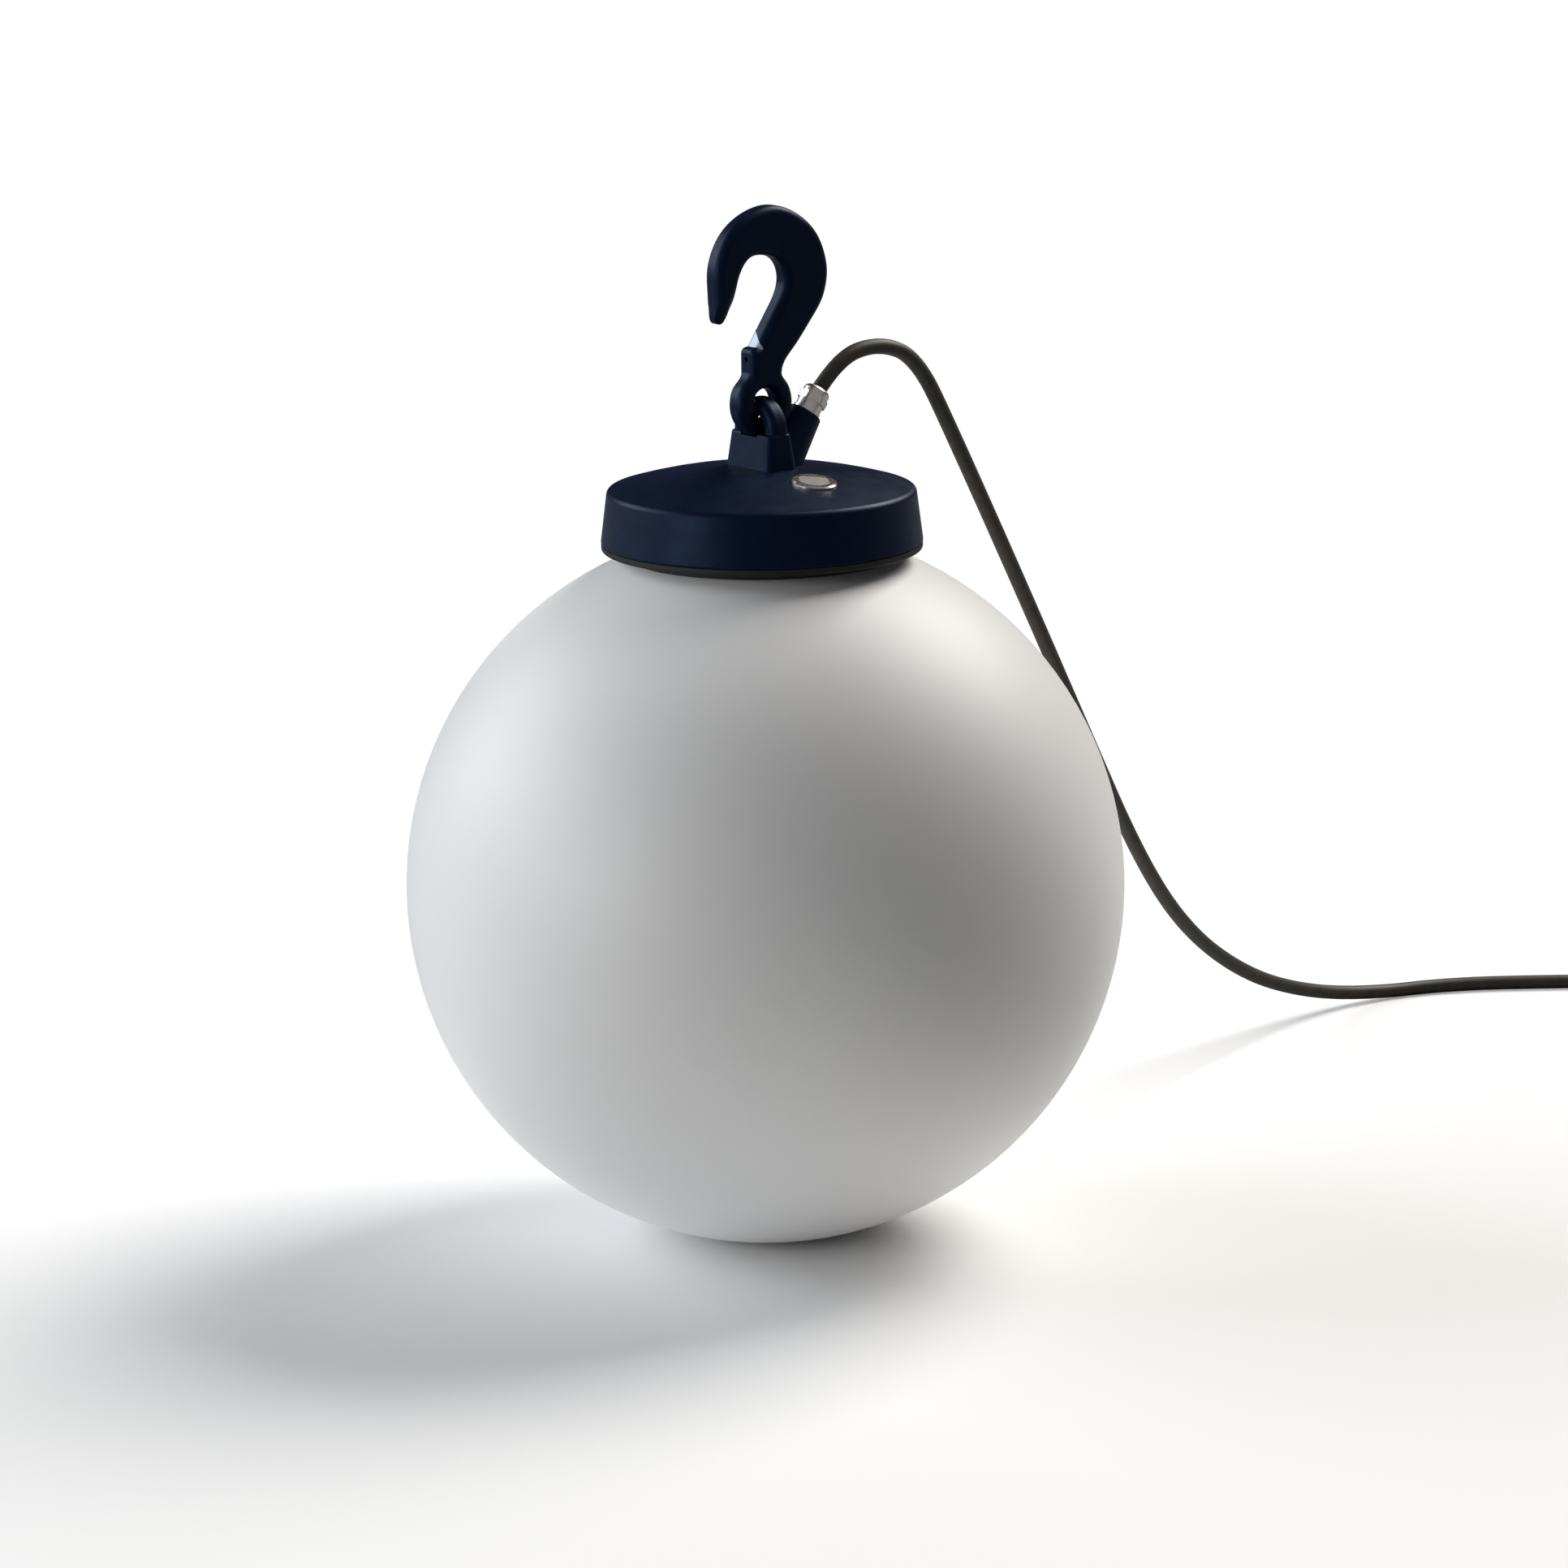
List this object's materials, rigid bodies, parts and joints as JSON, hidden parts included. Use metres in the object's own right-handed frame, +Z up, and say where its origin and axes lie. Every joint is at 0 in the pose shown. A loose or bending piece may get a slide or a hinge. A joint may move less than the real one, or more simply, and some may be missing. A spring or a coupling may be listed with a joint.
{
  "type": "garden globe light",
  "caption": "Opal globe light with a dark metal cap, a swivelling eye hook, a push button and a mains cable with a plug, for standing or hanging outdoors.",
  "frame": {"origin": "on the ground, under the centre of the globe", "axes": "+Z up through the cap; the hook lies in the XZ plane and the cable leaves towards +X; the push button is on the -Y side of the cap"},
  "size_m": [0.7863, 0.3029, 0.4328],
  "materials": {
    "opal": "opal matt white",
    "navy_paint": "satin powder coat, very dark blue",
    "navy_bracket": "satin powder coat, very dark blue",
    "navy_hook": "satin powder coat, very dark blue",
    "nickel": "nickel plate, satin",
    "nickel_button": "nickel plate, bright",
    "seal_rubber": "dull",
    "cable_rubber": "dull, dark grey-brown",
    "plug_rubber": "dull",
    "tie_nylon": "natural nylon",
    "ring_nylon": "glass-filled nylon, black",
    "zinc_steel": "zinc plate",
    "holder_plastic": "moulded, black",
    "brass_parts": "bare",
    "lamp_metal": "satin",
    "lamp_white": "white",
    "lamp_opal": "opal",
    "block_plastic": "natural",
    "switch_plastic": "black",
    "lead_cover": "insulated leads"
  },
  "bodies": {
    "head": {"cap_shell": "navy_paint", "bail_bracket": "navy_bracket", "gland_body": "nickel", "gland_nut": "nickel", "plug_pins": "nickel", "button_bezel": "nickel_button", "cap_seal": "seal_rubber", "gland_seal": "seal_rubber", "gland_oring": "seal_rubber", "button_oring": "seal_rubber", "cable": "cable_rubber", "cable_sheath_end": "cable_rubber", "cable_coil": "cable_rubber", "cable_tail": "cable_rubber", "plug_body": "plug_rubber", "plug_relief": "plug_rubber", "cable_ties": "tie_nylon", "bayonet_ring": "ring_nylon", "gear_tray": "zinc_steel", "ring_screws": "zinc_steel", "bracket_screws": "zinc_steel", "holder_screws": "zinc_steel", "button_nut": "zinc_steel", "plug_earth_clips": "zinc_steel", "lamp_holder": "holder_plastic", "holder_screw_shell": "brass_parts", "holder_contact": "brass_parts", "earth_screw": "brass_parts", "terminal_screws": "brass_parts", "bulb_base": "lamp_metal", "bulb_tip": "lamp_metal", "bulb_body": "lamp_white", "bulb_envelope": "lamp_opal", "terminal_block": "block_plastic", "switch_body": "switch_plastic", "supply_leads": "lead_cover", "holder_leads": "lead_cover", "switch_leads": "lead_cover"},
    "globe": {"globe_diffuser": "opal"},
    "hook": {"hook": "navy_hook"},
    "button": {"button_cap": "nickel_button"}
  },
  "joints": [
    {"name": "hook_swing", "type": "hinge", "parent": "head", "child": "hook", "pos_m": [0, 0, 0.35129], "axis": [0, 1, 0], "range_deg": [-95, 28]},
    {"name": "globe_twist", "type": "hinge", "parent": "head", "child": "globe", "pos_m": [0, 0, 0], "axis": [0, 0, 1], "range_deg": [0, 30]},
    {"name": "button_press", "type": "slide", "parent": "head", "child": "button", "axis": [0, 0.1606, -0.987], "range_m": [0, 0.0012], "stiffness_N_per_m": 400, "springref_m": -0.002}
  ]
}
